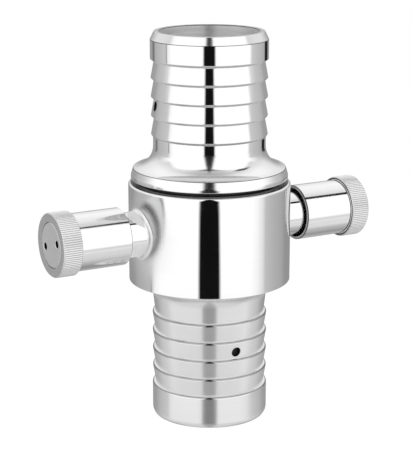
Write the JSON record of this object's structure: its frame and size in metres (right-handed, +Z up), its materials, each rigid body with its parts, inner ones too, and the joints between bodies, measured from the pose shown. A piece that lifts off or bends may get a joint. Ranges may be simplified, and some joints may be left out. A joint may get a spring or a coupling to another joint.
{
  "type": "fire hose coupling",
  "caption": "Snap-in fire hose coupling: a barbed male hose tail with a shoulder flange, plugged into a round socket that has spring-loaded pull lugs and a barbed tail below.",
  "frame": {"origin": "on the main axis, at the end face of the female hose tail that the coupling stands on", "axes": "+Z up the main axis from the female tail to the male tail, +X along the right lug, +Y away from the viewer of the front"},
  "size_m": [0.1906, 0.089, 0.2145],
  "materials": {
    "polished_steel": "mirror polished stainless steel",
    "turned_steel": "satin stainless steel with fine turning marks",
    "spring_steel": "drawn spring wire",
    "seal_rubber": "matt black moulded rubber"
  },
  "bodies": {
    "female_body": {"lug_body": "polished_steel", "female_hose_tail": "turned_steel", "sealing_washer": "seal_rubber", "left_spring_retainer": "turned_steel", "right_spring_retainer": "turned_steel", "left_guide_screw": "turned_steel", "right_guide_screw": "turned_steel", "left_plunger_spring": "spring_steel", "right_plunger_spring": "spring_steel"},
    "male_body": {"male_half": "polished_steel"},
    "left_lug": {"left_plunger": "turned_steel", "left_pull_sleeve": "polished_steel", "left_cap_nut": "turned_steel"},
    "right_lug": {"right_plunger": "turned_steel", "right_pull_sleeve": "polished_steel", "right_cap_nut": "turned_steel"}
  },
  "joints": [
    {"name": "left_lug_pull", "type": "slide", "parent": "female_body", "child": "left_lug", "axis": [-1, 0, 0], "range_m": [0, 0.008], "stiffness_N_per_m": 4000, "springref_m": -0.008, "deforming": ["left_plunger_spring"]},
    {"name": "right_lug_pull", "type": "slide", "parent": "female_body", "child": "right_lug", "axis": [1, 0, 0], "range_m": [0, 0.008], "stiffness_N_per_m": 4000, "springref_m": -0.008, "deforming": ["right_plunger_spring"]},
    {"name": "male_half_swivel", "type": "hinge", "parent": "female_body", "child": "male_body", "pos_m": [0, 0, 0.0915], "axis": [0, 0, 1], "continuous": true}
  ]
}
